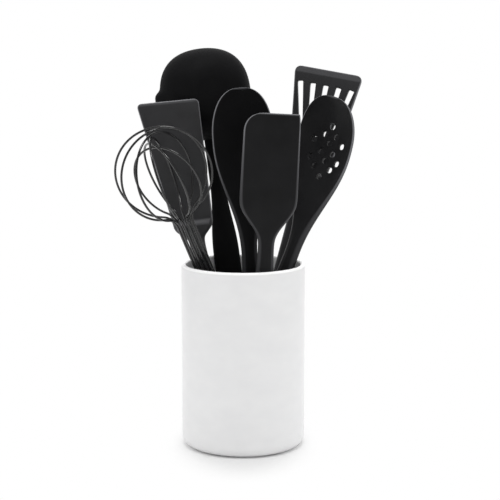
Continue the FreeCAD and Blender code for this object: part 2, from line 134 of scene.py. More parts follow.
def spaced(start: float, end: float, steps: int) -> Array:
    """Evenly spaced places, with the end but not the start."""
    return np.linspace(start, end, steps + 1)[1:]


def stepped(start: float, end: float) -> Array:
    """Evenly spaced places about one row pitch apart, with the end but not the start."""
    return spaced(start, end, max(round((end - start) / HANDLE_ROW_PITCH), 1))


def bernstein(count: int, at: Array) -> Array:
    """Bezier weights: C(n, k) t^k (1 - t)^(n - k) for k from 0 to n, with n = count - 1.

    Args:
        count: Number of poles.
        at: Parameters from 0 to 1.

    Returns:
        One row of weights per parameter.
    """
    degree = count - 1
    powers = np.arange(count)
    choose = np.array([math.comb(degree, power) for power in powers])
    return choose * at[:, None] ** powers * (1 - at[:, None]) ** (degree - powers)


def spline_weights(rows: int, per_span: int) -> Array:
    """Weights of a clamped cubic spline on whole-number knots, by the Cox - de Boor recurrence.

    Args:
        rows: Number of control rows.
        per_span: Samples in each knot span.

    Returns:
        One row of weights per sample, one column per control row.
    """
    spans = rows - CUBIC
    knots = np.concatenate([np.zeros(CUBIC), np.arange(spans + 1), np.full(CUBIC, spans)])
    at = np.linspace(0, spans, spans * per_span + 1)[:, None]
    inside = np.minimum(np.floor(at), spans - 1)
    weights = ((knots[:-1] == inside) & (knots[1:] > inside)).astype(float)
    for degree in range(1, CUBIC + 1):
        low, high = knots[: -degree - 1], knots[degree + 1 :]
        rise_gap = knots[degree:-1] - low
        fall_gap = high - knots[1:-degree]
        rise = np.divide(at - low, rise_gap, out=np.zeros((len(at), len(low))), where=rise_gap > 0)
        fall = np.divide(high - at, fall_gap, out=np.zeros((len(at), len(low))), where=fall_gap > 0)
        weights = rise * weights[:, :-1] + fall * weights[:, 1:]
    return weights


def revolved(radius: Array, height: Array) -> Array:
    """Grid of a profile turned about the Z axis: (r cos a, r sin a, h).

    Args:
        radius: Distances from the axis.
        height: Heights.

    Returns:
        Array of rows by columns by three.
    """
    angle = np.linspace(0, 2 * np.pi, REVOLVE_COLUMNS, endpoint=False)
    return np.stack([radius[:, None] * np.cos(angle), radius[:, None] * np.sin(angle),
                     np.repeat(height[:, None], REVOLVE_COLUMNS, axis=1)], axis=-1)


def fillet(centre_radius: float, centre_height: float, size: float, start: float, end: float) -> Array:
    """Points of a round in a profile: an arc about a centre, angles in quarter turns."""
    angle = np.linspace(start, end, FILLET_POINTS) * np.pi / 2
    return np.stack([centre_radius + size * np.cos(angle), centre_height + size * np.sin(angle)], axis=-1)


def tube_faces(rows: int, columns: int) -> Array:
    """Quads of a grid whose columns close on themselves.

    Args:
        rows: Rows of the grid.
        columns: Points in each row.

    Returns:
        Four point indices per quad.
    """
    row = np.arange(rows - 1)[:, None] * columns
    column = np.arange(columns)[None, :]
    after = (column + 1) % columns
    quads = [row + column, row + after, row + columns + after, row + columns + column]
    return np.stack(quads, axis=-1).reshape(-1, 4)


def mesh_points(mesh: bpy.types.Mesh) -> Array:
    """Points of a mesh.

    Args:
        mesh: The mesh.

    Returns:
        Array of points by three.
    """
    points = np.empty(3 * len(mesh.vertices), dtype=np.float32)
    mesh.vertices.foreach_get("co", points)
    return points.reshape(-1, 3)


def closed_mesh(name: str, grids: list[Array], rims: list[Array] | None = None) -> bpy.types.Mesh:
    """Mesh of closed shells, each a grid of rings with a fan over its first and last ring.

    The sign of the enclosed volume, the sum of p0 . (p1 x p2) over the triangles, turns the faces
    of each shell outwards.

    Args:
        name: Name of the mesh.
        grids: Arrays of rows by columns by three, in the shared frame.
        rims: Arrays of rows by columns that say how much painted highlight each point takes.

    Returns:
        The mesh, smooth shaded, with the shares of painted highlight in its attribute "rim".
    """
    points, faces, shares, first = [], [], [], 0
    rims = rims or [np.zeros(grid.shape[:2]) for grid in grids]
    for grid, rim in zip(grids, rims):
        rows, columns = grid.shape[:2]
        shell = np.concatenate([grid.reshape(-1, 3), grid[:1].mean(axis=1), grid[-1:].mean(axis=1)])
        ring = np.arange(columns)
        after = (ring + 1) % columns
        start = np.stack([after, ring, np.full(columns, rows * columns)], axis=-1)
        last = (rows - 1) * columns
        end = np.stack([last + ring, last + after, np.full(columns, rows * columns + 1)], axis=-1)
        quads = tube_faces(rows, columns)
        halves = np.concatenate([quads[:, [0, 1, 2]], quads[:, [0, 2, 3]], start, end])
        corners = shell[halves] - shell.mean(axis=0)
        volume = np.einsum("ij,ij->i", corners[:, 0], np.cross(corners[:, 1], corners[:, 2])).sum()
        step = 1 if volume > 0 else -1
        for part in (quads, start, end):
            faces += (first + part[:, ::step]).tolist()
        points.append(shell)
        shares += [rim.ravel(), rim[:1].mean(axis=1), rim[-1:].mean(axis=1)]
        first += len(shell)
    mesh = bpy.data.meshes.new(name)
    mesh.from_pydata(np.concatenate(points).tolist(), [], faces)
    mesh.shade_smooth()
    mesh.attributes.new(PAINTED_HIGHLIGHT, "FLOAT", "POINT").data.foreach_set("value", np.concatenate(shares))
    mesh.update()
    return mesh


def into_scene(name: str, data: bpy.types.ID) -> bpy.types.Object:
    """Puts a new object into the scene.

    Args:
        name: Name of the object.
        data: Its mesh, light or camera.

    Returns:
        The object.
    """
    made = bpy.data.objects.new(name, data)
    bpy.context.scene.collection.objects.link(made)
    return made


def worked(mesh: bpy.types.Mesh, other: bpy.types.Mesh, joining: Joining) -> bpy.types.Mesh:
    """The mesh after another closed shape is cut from it or welded to it.

    Args:
        mesh: The shape that is worked on.
        other: The cutter or the added shape.
        joining: Which of the two is done.

    Returns:
        The finished mesh, with creases where faces meet at an angle.
    """
    base = into_scene("work_base", mesh)
    tool = into_scene("work_tool", other)
    step = base.modifiers.new("work", "BOOLEAN")
    step.operation = joining.value
    step.solver = "EXACT"
    step.object = tool
    depsgraph = bpy.context.evaluated_depsgraph_get()
    made = bpy.data.meshes.new_from_object(base.evaluated_get(depsgraph))
    made.name = mesh.name
    for helper in (base, tool):
        bpy.data.objects.remove(helper)
    made.shade_smooth()
    made.set_sharp_from_angle(angle=CREASE_ANGLE)
    return made


def add_piece(mesh: bpy.types.Mesh, body: str, nodes: list[str],
              material: bpy.types.Material) -> None:
    """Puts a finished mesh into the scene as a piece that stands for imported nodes.

    Args:
        mesh: The piece's mesh, with its place in its points.
        body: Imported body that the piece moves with.
        nodes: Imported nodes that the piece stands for.
        material: Finish of the piece.
    """
    piece = into_scene(mesh.name, mesh)
    mesh.materials.clear()
    mesh.materials.append(material)
    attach(piece, body)
    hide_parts(*nodes)
    LOG.info("%s: %d faces on body %s", mesh.name, len(mesh.polygons), body)


class NodeTree:
    """Short hand for the nodes and links of a material or a world."""

    def __init__(self, owner: bpy.types.ID) -> None:
        """Turns on the owner's nodes.

        Args:
            owner: The material or the world.
        """
        owner.use_nodes = True
        self.owner = owner
        self.nodes = owner.node_tree.nodes
        self.links = owner.node_tree.links

    def give(self, node: bpy.types.Node, **values: Socket | tuple | float | str) -> None:
        """Sets a node up: names in lower case are its own settings, the others its inputs.

        Args:
            node: The node.
            values: Plain values, or sockets to link; an input's spaces are written as underscores.
        """
        for key, value in values.items():
            entry = key.replace("_", " ")
            if key.islower():
                setattr(node, key, value)
            elif isinstance(value, Socket):
                self.links.new(value, node.inputs[entry])
            else:
                node.inputs[entry].default_value = value

    def add(self, kind: str, result: str, **values: Socket | tuple | float | str) -> Socket:
        """Adds a node.

        Args:
            kind: The node's type after the word ShaderNode.
            result: Name of the output that is wanted.
            values: What the node is given.

        Returns:
            The output socket.
        """
        node = self.nodes.new("ShaderNode" + kind)
        self.give(node, **values)
        return node.outputs[result]

    def stretched(self, scale: Triple) -> Socket:
        """Object coordinates times a scale along each axis."""
        return self.add("Mapping", "Vector", Vector=self.add("TexCoord", "Object"), Scale=scale)

    def noise(self, scale: float, detail: float, stretch: Triple = EVEN) -> Socket:
        """Noise on object coordinates, with a scale in waves per metre and octaves of detail."""
        return self.add("TexNoise", "Fac", Vector=self.stretched(stretch), Scale=scale, Detail=detail)

    def spread(self, factor: Socket, low: float, high: float) -> Socket:
        """Maps a noise factor from its usual span to low..high."""
        return self.add("MapRange", "Result", Value=factor, From_Min=NOISE_LOW, From_Max=NOISE_HIGH,
                        To_Min=low, To_Max=high)

    def tint(self, factor: Socket, dark: Triple, light: Triple) -> Socket:
        """Mixes two colours by a noise factor.

        Args:
            factor: The noise factor.
            dark: Colour at the low end of the noise's usual span.
            light: Colour at the high end.

        Returns:
            The colour socket.
        """
        ramp = self.nodes.new("ShaderNodeValToRGB")
        ends = zip(ramp.color_ramp.elements, (NOISE_LOW, NOISE_HIGH), (dark, light))
        for element, place, colour in ends:
            element.position = place
            element.color = (*colour, 1)
        self.links.new(factor, ramp.inputs["Fac"])
        return ramp.outputs["Color"]

    def edged(self, colour: Socket, edge: Triple) -> Socket:
        """Mixes a colour towards a painted highlight colour by the share in the attribute "rim".

        Args:
            colour: Colour away from the edges.
            edge: Colour of the painted highlight on the edges and lips.

        Returns:
            The colour socket.
        """
        mix = self.nodes.new("ShaderNodeMix")
        mix.data_type = "RGBA"
        factor, start, end = (entry for entry in mix.inputs if entry.enabled)
        self.links.new(self.add("Attribute", "Fac", attribute_name=PAINTED_HIGHLIGHT), factor)
        self.links.new(colour, start)
        end.default_value = (*edge, 1)
        return next(entry for entry in mix.outputs if entry.enabled)

    def bump(self, height: Socket, depth: float, strength: float) -> Socket:
        """Normal of a bump: heights from 0 to 1 times a depth in metres, used by a strength."""
        return self.add("Bump", "Normal", Height=height, Distance=depth, Strength=strength)

    def coated(self, **values: Socket | float) -> bpy.types.Material:
        """Sets up the material's principled shader and gives the material."""
        self.give(self.nodes["Principled BSDF"], **values)
        return self.owner


def cool_grey(tone: float) -> Triple:
    """A grey with a little more blue."""
    return (tone, tone, tone * COOL_SHARE)


@dataclass(frozen=True)
class SatinGlaze:
    """White glaze over clay: faintly cloudy tone, a painted highlight on the lip and a satin shine."""

    # Painted highlight colour of the lip and of the top of the inside wall.
    lip: Triple = (0.97, 0.97, 0.97)
    light: Triple = (0.84, 0.84, 0.842)
    dark: Triple = (0.81, 0.81, 0.815)
    smooth: float = 0.28
    rough: float = 0.31
    shine: float = 0.35
    cloud_scale: float = 48.0
    cloud_detail: float = 4.0
    cloud_stretch: Triple = (1.0, 1.0, 1.6)
    film_scale: float = 96.0
    film_detail: float = 3.0

    def material(self) -> bpy.types.Material:
        """Makes the glaze.

        Returns:
            The material.
        """
        tree = NodeTree(bpy.data.materials.new("satin_white_glaze"))
        cloud = tree.noise(self.cloud_scale, self.cloud_detail, self.cloud_stretch)
        film = tree.noise(self.film_scale, self.film_detail)
        # The lip takes the painted highlight colour.
        return tree.coated(Base_Color=tree.edged(tree.tint(cloud, self.dark, self.light), self.lip),
                           Roughness=tree.spread(film, self.smooth, self.rough),
                           Specular_IOR_Level=self.shine)


@dataclass(frozen=True)
class MatteSilicone:
    """Black moulded silicone: dry matte skin, faint clouding, fine grain and a painted highlight on the
    edges.
    """

    name: str
    tone: float
    # Colour of the painted highlight on the edges.
    edge_tone: float = 0.19
    cloud_share: float = 0.25
    smooth: float = 0.30
    rough: float = 0.40
    shine: float = 0.22
    cloud_scale: float = 45.0
    cloud_detail: float = 5.0
    grain_scale: float = 2600.0
    grain_detail: float = 3.0
    grain_depth: float = 0.00005
    grain_strength: float = 0.3

    def material(self) -> bpy.types.Material:
        """Makes the silicone, whose clouds are darker by a share of its tone.

        Returns:
            The material.
        """
        tree = NodeTree(bpy.data.materials.new(self.name))
        cloud = tree.noise(self.cloud_scale, self.cloud_detail)
        grain = tree.noise(self.grain_scale, self.grain_detail)
        tint = tree.tint(cloud, cool_grey(self.tone * (1 - self.cloud_share)), cool_grey(self.tone))
        # The edges take the painted highlight colour.
        return tree.coated(Base_Color=tree.edged(tint, cool_grey(self.edge_tone)),
                           Roughness=tree.spread(cloud, self.smooth, self.rough),
                           Normal=tree.bump(grain, self.grain_depth, self.grain_strength),
                           Specular_IOR_Level=self.shine)


@dataclass(frozen=True)
class BlackNylon:
    """Glass-filled nylon of the stiff cores: even black with a faint flow streak."""

    light: Triple = (0.022, 0.022, 0.023)
    dark: Triple = (0.014, 0.014, 0.015)
    smooth: float = 0.38
    rough: float = 0.5
    streak_scale: float = 90.0
    streak_detail: float = 3.0
    streak_stretch: Triple = (1.0, 1.0, 0.15)

    def material(self) -> bpy.types.Material:
        """Makes the nylon.

        Returns:
            The material.
        """
        tree = NodeTree(bpy.data.materials.new("black_nylon"))
        streak = tree.noise(self.streak_scale, self.streak_detail, self.streak_stretch)
        return tree.coated(Base_Color=tree.tint(streak, self.dark, self.light),
                           Roughness=tree.spread(streak, self.smooth, self.rough))


@dataclass(frozen=True)
class CoatedWire:
    """Steel wire under a thin black coat: smoother than the silicone, with an uneven film."""

    light: Triple = (0.006, 0.006, 0.0065)
    dark: Triple = (0.004, 0.004, 0.0042)
    smooth: float = 0.11
    rough: float = 0.16
    shine: float = 0.75
    film_scale: float = 160.0
    film_detail: float = 3.0

    def material(self) -> bpy.types.Material:
        """Makes the coated wire.

        Returns:
            The material.
        """
        tree = NodeTree(bpy.data.materials.new("black_coated_wire"))
        film = tree.noise(self.film_scale, self.film_detail)
        return tree.coated(Base_Color=tree.tint(film, self.dark, self.light),
                           Roughness=tree.spread(film, self.smooth, self.rough),
                           Specular_IOR_Level=self.shine)


@dataclass
class Stance:
    """Where a tool stands: its foot and its three directions in the shared frame."""

    foot: Array
    across: Array
    face: Array
    along: Array

    @classmethod
    def of(cls, frame: dict, tool: str, node: str, turn: float, grip_reach: float, lift: float) -> "Stance":
        """Reads a tool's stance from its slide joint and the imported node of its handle.

        The joint's axis is the direction along the tool. The direction across it is level, then
        turned about the axis. The foot is the node's lowest reach along the axis, in the middle of
        the handle's points in the other two directions.

        Args:
            tool: Name of the tool's body.
            node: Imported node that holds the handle's end.
            turn: Turn of the face about the axis, in degrees.
            grip_reach: Length of handle that is even to both sides.
            lift: Offset of the handle's middle from the foot along the face direction.

        Returns:
            The stance.
        """
        axes = {joint["child"]: joint["axis"] for joint in frame["joints"]}
        along = np.array(axes[tool], dtype=float)
        along /= np.linalg.norm(along)
        level = np.array([1.0, 0.0, 0.0]) - along * along[0]
        level /= np.linalg.norm(level)
        angle = math.radians(turn)
        across = level * math.cos(angle) + np.cross(along, level) * math.sin(angle)
        face = np.cross(along, across)
        local = mesh_points(frame["nodes"][node].data) @ np.stack([across, face, along], axis=1)
        start = local[:, 2].min()
        handle = local[local[:, 2] < start + grip_reach]
        middle = (handle.min(axis=0) + handle.max(axis=0)) / 2
        foot = middle[0] * across + (middle[1] - lift) * face + start * along
        return cls(foot, across, face, along)

    def place(self, points: Array) -> Array:
        """Moves points from the tool's own frame into the shared frame."""
        return self.foot + points @ np.stack([self.across, self.face, self.along])

    def own(self, mesh: bpy.types.Mesh) -> Array:
        """Points of a placed mesh in the tool's own frame."""
        return (mesh_points(mesh) - self.foot) @ np.stack([self.across, self.face, self.along], axis=1)


@dataclass
class Sections:
    """Control sections along a tool, one array entry per section."""

    along: Array
    left: Array
    right: Array
    thickness: Array
    front_crown: Array
    back_crown: Array
    lift: Array
    slope: Array

    def then(self, *others: "Sections") -> "Sections":
        """Joins sections end to end."""
        parts = (self, *others)
        return Sections(*[np.concatenate([getattr(part, entry.name) for part in parts])
                          for entry in fields(Sections)])

    def scaled(self, shares: Array) -> "Sections":
        """The same sections with shares of their widths, no thicker than they are wide."""
        half_width = np.minimum(self.left, self.right) * shares
        return Sections(self.along, self.left * shares, self.right * shares,
                        np.minimum(self.thickness, half_width), self.front_crown * shares**2,
                        self.back_crown * shares**2, self.lift, self.slope)

    def rings(self) -> Array:
        """Points round every section: front face, right edge, back face, left edge.

        Both faces are parabolas over the width, of the crown's height, and both edges are cubic
        curves close to half circles. A point's place along the tool follows the section's slope.

        Returns:
            Array of sections by points by three.
        """
        half = self.thickness / 2
        bulge = self.thickness * EDGE_BULGE_SHARE
        left = -(self.left - half)
        right = self.right - half
        middle = (left + right) / 2
        front = -half - 2 * self.front_crown
        back = half + 2 * self.back_crown
        sides = [
            [(left, -half), (middle, front), (right, -half)],
            [(right, -half), (right + bulge, -half), (right + bulge, half), (right, half)],
            [(right, half), (middle, back), (left, half)],
            [(left, half), (left - bulge, half), (left - bulge, -half), (left, -half)],
        ]
        rounds = []
        for poles in sides:
            is_face = len(poles) == PARABOLA_POLES
            at = np.linspace(0, 1, FACE_COLUMNS if is_face else EDGE_COLUMNS, endpoint=False)
            weights = bernstein(len(poles), blend(0.0, 1.0, at) if is_face else at)
            net = np.stack([np.stack(pole, axis=-1) for pole in poles], axis=1)
            rounds.append(np.einsum("tk,rkc->rtc", weights, net))
        flat = np.concatenate(rounds, axis=1)
        across, through = flat[..., 0], self.lift[:, None] + flat[..., 1]
        return np.stack([across, through, self.along[:, None] + across * self.slope[:, None]], axis=-1)


@dataclass
class MouldedTool:
    """A silicone tool: a flat handle with a round end, a neck and a head."""

    name: str
    turn: float
    length: float
    grip_width: float = 0.0216
    grip_thickness: float = 0.0092
    grip_crown: float = 0.0009
    grip_length: float = 0.112
    butt_round: float = 0.010
    neck_width: float = 0.0146
    handle_lift: float = 0.0
    slant_angle: float = 0.0
    soften_passes: int = 2

    @property
    def slope(self) -> float:
        """Rise of the leading edge across the head."""
        return math.tan(math.radians(self.slant_angle))

    def unslanted(self, grid: Array) -> Array:
        """Places along the tool with the leading edge's slant taken out: z - slope x."""
        return grid[..., 2] - self.slope * grid[..., 0]

    def handle_half_width(self, along: Array, taper_end: float) -> Array:
        """Half width of the handle: full grip, then a cosine taper to the neck."""
        share = (along - self.grip_length) / (taper_end - self.grip_length)
        return blend(self.grip_width, self.neck_width, share) / 2

    def handle_stations(self, taper_end: float) -> Array:
        """Places of the sections along the grip and the neck, about one row pitch apart."""
        grip = stepped(self.butt_round, self.grip_length)
        return np.concatenate([grip, stepped(self.grip_length, taper_end)])

    def sections_at(self, along: Array) -> Sections:
        """Sections at places along the tool; each kind of tool has its own."""
        raise NotImplementedError

    def head_stations(self) -> Array:
        """Places of the sections from the grip to the head's end rows."""
        raise NotImplementedError

    def end_sections(self) -> Sections:
        """Sections that round off the head's end."""
        raise NotImplementedError

    def butt_sections(self) -> Sections:
        """Sections of the rounded handle end.

        Returns:
            Sections from a small end ring to the full grip.
        """
        rises = np.array([0.0, 0.0, ROUND_PULL_SHARE * self.butt_round, self.butt_round])
        full = self.sections_at(np.full(len(rises), self.butt_round))
        full.along = rises
        return full.scaled(np.array([END_SHARE, 1 - ROUND_PULL_SHARE, 1.0, 1.0]))

    def surface(self) -> Array:
        """Grid over the whole tool in its own frame: a cubic spline through its control rings.

        A few passes of (before + 2 here + after) / 4 round each ring soften the moulded edges.

        Returns:
            Array of rows by columns by three.
        """
        rows = self.butt_sections().then(self.sections_at(self.head_stations()), self.end_sections())
        rings = rows.rings()
        grid = np.einsum("sr,rtc->stc", spline_weights(len(rings), ROWS_PER_SPAN), rings)
        for _ in range(self.soften_passes):
            grid = (np.roll(grid, 1, axis=1) + 2 * grid + np.roll(grid, -1, axis=1)) / 4
        return grid

    def rim(self, grid: Array) -> Array:
        """Shares of painted highlight over a grid, for both side edges and the leading edge.

        A side edge has w |sin(2 pi t)| while t runs over its half round. The weight w is the square
        of a thin edge's thickness over the tool's own, held to 1. The leading edge has 1, which falls
        evenly to 0 over the rim's width.

        Args:
            grid: Surface of the tool in its own frame.

        Returns:
            Array of rows by columns.
        """
        edge = np.abs(np.sin(2 * np.pi * np.linspace(0, 1, EDGE_COLUMNS, endpoint=False)))
        ring = np.concatenate([np.zeros(FACE_COLUMNS), edge, np.zeros(FACE_COLUMNS), edge])
        thickness = np.ptp(grid[:, FACE_COLUMNS : FACE_COLUMNS + EDGE_COLUMNS, 1], axis=1)
        weight = (THIN_EDGE / np.maximum(thickness, THIN_EDGE)) ** 2
        tip = np.clip(1 - (self.length - self.unslanted(grid)) / TIP_HIGHLIGHT_WIDTH, 0.0, 1.0)
        return np.maximum(weight[:, None] * ring, tip)

    def placed_mesh(self, stance: Stance) -> bpy.types.Mesh:
        """Mesh of the tool's plain surface where it stands."""
        grid = self.surface()
        return closed_mesh(self.name, [stance.place(grid)], [self.rim(grid)])

    def finished_mesh(self, stance: Stance) -> bpy.types.Mesh:
        """Mesh of the finished tool where it stands."""
        return self.placed_mesh(stance)

    def build(self, frame: dict, material: bpy.types.Material) -> None:
        """Builds the tool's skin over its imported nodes.

        Args:
            material: Finish of the skin.
        """
        skin = self.name + "_skin"
        stance = Stance.of(frame, self.name, skin, self.turn, self.grip_length, self.handle_lift)
        add_piece(self.finished_mesh(stance), self.name, [skin], material)


@dataclass
class Spoon(MouldedTool):
    """Spoon: the neck flares by a cosine into an oval bowl that is dished and bent forward."""

    width: float = 0.056
    tip_length: float = 0.048
    fade_length: float = 0.099
    fade_steps: int = 7
    depth: float = 0.010
    bend: float = 0.012
    wall: float = 0.0032

    @property
    def fade_start(self) -> float:
        """Place along the spoon where the neck starts to flare."""
        return self.length - self.tip_length - self.fade_length

    def sections_at(self, along: Array) -> Sections:
        """Sections of the spoon: the dish deepens with the square of the width.

        Args:
            along: Places along the spoon.

        Returns:
            One section per place.
        """
        share = (along - self.fade_start) / self.fade_length
        half_width = blend(self.handle_half_width(along, self.fade_start), self.width / 2, share)
        dish = self.depth * (2 * half_width / self.width) ** 2
        reach = np.maximum(along - self.fade_start, 0.0) / (self.length - self.fade_start)
        return Sections(along, half_width, half_width, blend(self.grip_thickness, self.wall, share),
                        blend(self.grip_crown, -dish, share), blend(self.grip_crown, dish, share),
                        -self.bend * reach**2, np.zeros_like(along))

    def head_stations(self) -> Array:
        """Places of the sections from the grip to the widest part of the bowl."""
        bowl = spaced(self.fade_start, self.length - self.tip_length, self.fade_steps)
        return np.concatenate([self.handle_stations(self.fade_start), bowl])

    def end_sections(self) -> Sections:
        """Rounded tip, from the widest section to the end.

        Returns:
            Sections that narrow to a small end ring.
        """
        drops = np.array([ROUND_PULL_SHARE * self.tip_length, 0.0, 0.0])
        shares = np.array([1.0, 1 - ROUND_PULL_SHARE, END_SHARE])
        return self.sections_at(self.length - drops).scaled(shares)


def nearest(face: Array, place: Array) -> Array:
    """Point of a face grid that lies closest to a place across and along the tool."""
    points = face.reshape(-1, 3)
    return points[np.argmin(((points[:, [0, 2]] - place) ** 2).sum(axis=1))]


def flared_profile(half: float, edge_round: float) -> tuple[Array, Array]:
    """Offsets and extra radius of a cutter that leaves round edges on a wall.

    The extra radius is r (1 - sqrt(1 - x^2)) while x runs over the last r of the wall, and the
    cutter then goes on straight past both faces.

    Args:
        half: Half of the wall's thickness.
        edge_round: Radius r of the rounded edges.

    Returns:
        Offsets through the wall and the extra radius at each.
    """
    turn = np.linspace(0, PIN_ROUND_STOP_SHARE, PIN_ROUND_ROWS)
    offset = np.append(half - edge_round * (1 - turn), [half, CUTTER_REACH * half])
    extra = np.append(edge_round * (1 - np.sqrt(1 - turn**2)), [edge_round, edge_round])
    return np.concatenate([-offset[::-1], offset]), np.concatenate([extra[::-1], extra])


def round_pin(near: Array, far: Array, radius: float, edge_round: float) -> Array:
    """Grid of a round cutter through a wall, from a point of one face to a point of the other.

    Args:
        near: Point on the front face.
        far: Point on the back face.
        radius: Radius of the hole.
        edge_round: Radius of its rounded edges.

    Returns:
        Array of rows by columns by three.
    """
    axis = (far - near) / np.linalg.norm(far - near)
    side = np.cross(axis, [0.0, 0.0, 1.0])
    side /= np.linalg.norm(side)
    other = np.cross(axis, side)
    offset, extra = flared_profile(np.linalg.norm(far - near) / 2, edge_round)
    angle = np.linspace(0, 2 * np.pi, PIN_SIDES, endpoint=False)
    ring = np.cos(angle)[:, None] * side + np.sin(angle)[:, None] * other
    middle = (near + far) / 2 + offset[:, None] * axis
    return middle[:, None] + (radius + extra)[:, None, None] * ring


@dataclass
class SlottedSpoon(Spoon):
    """Spoon with staggered rows of round drain holes through its bowl."""

    hole_radius: float = 0.0028
    hole_round: float = 0.0007
    first_row: float = 0.025
    row_pitch: float = 0.0077
    half_pitch: float = 0.0072
    row_counts: tuple[int, ...] = (1, 2, 3, 2, 3, 2, 1)

    def hole_places(self) -> Array:
        """Centres of the holes: each row's holes lie two half pitches apart about the middle.

        Returns:
            Array of holes by two, places across and along the spoon.
        """
        places = []
        for row, count in enumerate(self.row_counts):
            along = self.length - self.first_row - row * self.row_pitch
            places += [((2 * hole - (count - 1)) * self.half_pitch, along) for hole in range(count)]
        return np.array(places)

    def finished_mesh(self, stance: Stance) -> bpy.types.Mesh:
        """Mesh of the spoon with its holes cut.

        Each cutter is a pin along the bowl's own normal. Its radius is the hole's, and grows by a
        quarter circle towards both faces, so that the holes have round edges.

        Args:
            stance: Where the spoon stands.

        Returns:
            The finished mesh.
        """
        grid = self.surface()
        front, back = grid[:, :FACE_COLUMNS], grid[:, FACE_COLUMNS + EDGE_COLUMNS :][:, :FACE_COLUMNS]
        pins = []
        for place in self.hole_places():
            pin = round_pin(nearest(front, place), nearest(back, place), self.hole_radius, self.hole_round)
            pins.append(stance.place(pin))
        return worked(self.placed_mesh(stance), closed_mesh("drain_holes", pins), Joining.CUT)


@dataclass
class Blade(MouldedTool):
    """A tool with a flat head: the neck widens at a shoulder, and the corners are rounded."""

    head_length: float = 0.118
    root_width: float = 0.037
    tip_width: float = 0.0565
    shoulder_length: float = 0.015
    left_round: float = 0.0055
    right_round: float = 0.0055
    heel_length: float = 0.0
    root_thickness: float = 0.0038
    lip_thickness: float = 0.0016
    shoulder_steps: int = 4
    heel_steps: int = 0
    head_steps: int = 8

    @property
    def root(self) -> float:
        """Place along the tool where the head starts."""
        return self.length - self.head_length

    @property
    def neck(self) -> float:
        """Place along the tool where the shoulder starts."""
        return self.root - self.shoulder_length

    def head_share(self, along: Array) -> Array:
        """How far places lie along the head, 0 before it and 1 at the leading edge."""
        return np.maximum((along - self.root) / self.head_length, 0.0)

    def half_width(self, along: Array) -> Array:
        """Half width: the handle's, then a cosine step over the shoulder to an evenly tapered head.

        Args:
            along: Places along the tool.

        Returns:
            One half width per place.
        """
        head = (self.root_width + (self.tip_width - self.root_width) * self.head_share(along)) / 2
        share = (along - self.neck) / self.shoulder_length
        return blend(self.handle_half_width(along, self.neck), head, share)

    def stem_thickness(self, along: Array, end: float) -> Array:
        """Thickness from the grip to the head: a cosine step to an end value."""
        share = (along - self.grip_length) / (self.root - self.grip_length)
        return blend(self.grip_thickness, end, share)

    def head_stations(self) -> Array:
        """Places of the sections from the grip to the rounded corners.

        Returns:
            The places along the tool.
        """
        heel_end = self.root + self.heel_length
        corner = self.length - max(self.left_round, self.right_round)
        return np.concatenate([self.handle_stations(self.neck),
                               spaced(self.neck, self.root, self.shoulder_steps),
                               spaced(self.root, heel_end, self.heel_steps),
                               spaced(heel_end, corner, self.head_steps)[:-1]])

    def end_sections(self) -> Sections:
        """Sections of both rounded corners.

        Returns:
            Sections up to the leading edge.
        """
        drops = np.array([1.0, ROUND_PULL_SHARE, 0.0, 0.0])
        cuts = np.array([0.0, 0.0, ROUND_PULL_SHARE, 1.0])
        full = self.sections_at(self.length - max(self.left_round, self.right_round) * drops)
        full.left = full.left - self.left_round * cuts
        full.right = full.right - self.right_round * cuts
        return full

    def surface(self) -> Array:
        """Grid over the tool with its leading edge rounded off.

        Within half a lip's thickness h of the edge, the offset from the head's middle is scaled by
        sqrt(1 - (1 - d / h)^2), where d is the distance to the edge. A sliver of the edge stays flat.

        Returns:
            Array of rows by columns by three.
        """
        grid = super().surface()
        along = self.unslanted(grid)
        inside = np.clip(2 * (self.length - along) / self.lip_thickness, EDGE_FLAT_SHARE, 1.0)
        centre = self.sections_at(along).lift
        through = centre + (grid[..., 1] - centre) * np.sqrt(1 - (1 - inside) ** 2)
        return np.stack([grid[..., 0], through, grid[..., 2]], axis=-1)


